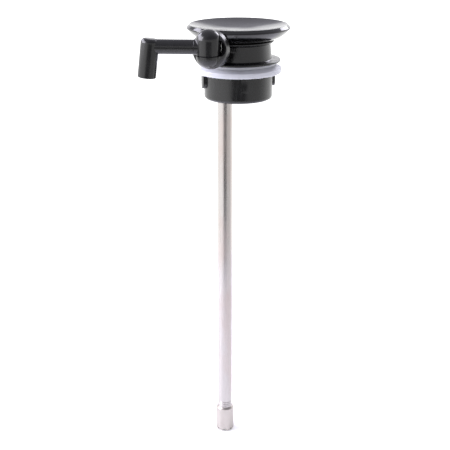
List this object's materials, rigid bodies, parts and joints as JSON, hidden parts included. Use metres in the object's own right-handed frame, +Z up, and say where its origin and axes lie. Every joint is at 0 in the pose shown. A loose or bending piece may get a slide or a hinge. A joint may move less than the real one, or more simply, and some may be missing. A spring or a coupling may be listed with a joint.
{
  "type": "vacuum flask pump head",
  "caption": "Push-plate dispensing pump head for a vacuum flask: dished palm plate, bellows pump, neck gasket and bayonet plug, swivelling down-turned spout, long riser tube with a foot valve.",
  "frame": {"origin": "centre of the round neck plug, in the plane of the gasket's underside that rests on the flask's rim", "axes": "+Z up along the plug and the plate's travel; the outlet neck points along -Y; +X to the right seen from the outlet side"},
  "size_m": [0.0931, 0.1198, 0.355],
  "materials": {
    "body_black": "gloss moulded",
    "gasket_white": "satin silicone",
    "steel_tube": "drawn satin",
    "steel_foot": "turned",
    "steel_small": "bright",
    "inner_plastic": "moulded satin",
    "rubber_soft": "moulded silicone",
    "seal_rubber": "moulded"
  },
  "bodies": {
    "pump_base": {"pump_housing": "body_black", "retaining_ring": "body_black", "neck_gasket": "gasket_white", "neck_collar": "body_black", "collar_screws": "steel_small", "bellows_seat": "inner_plastic", "delivery_flap": "rubber_soft", "flap_rivet": "inner_plastic", "bellows_clamp": "inner_plastic", "bellows": "rubber_soft", "return_spring": "steel_small", "outlet_elbow": "inner_plastic", "elbow_seal": "seal_rubber", "tube_seal": "seal_rubber", "riser_tube": "steel_tube", "foot_fitting": "steel_foot", "foot_valve_seat": "inner_plastic", "foot_valve_pin": "steel_small", "outlet_hub": "body_black", "swivel_seals": "seal_rubber", "hood_clip": "steel_small"},
    "plunger": {"push_plate": "body_black", "guide_skirt": "inner_plastic", "plate_screws": "steel_small", "bellows_disc": "inner_plastic", "intake_flap": "rubber_soft"},
    "spout": {"swivel_hood": "body_black", "spout_arm": "body_black", "spout_outlet": "body_black", "outlet_liner": "inner_plastic"},
    "lock": {"lock_slider": "body_black"},
    "check_ball": {"foot_valve_ball": "steel_small"}
  },
  "joints": [
    {"name": "plate_travel", "type": "slide", "parent": "pump_base", "child": "plunger", "axis": [0, 0, 1], "range_m": [0, 0.022], "deforming": ["bellows", "return_spring"]},
    {"name": "spout_swivel", "type": "hinge", "parent": "pump_base", "child": "spout", "pos_m": [0, -0.053, 0.0273], "axis": [0, 0, 1], "range_deg": [0, 136]},
    {"name": "lock_slide", "type": "slide", "parent": "pump_base", "child": "lock", "axis": [0.9537, 0.3007, 0], "range_m": [0, 0.0022]},
    {"name": "check_ball_lift", "type": "slide", "parent": "pump_base", "child": "check_ball", "axis": [0, 0, 1], "range_m": [0, 0.0018]}
  ]
}
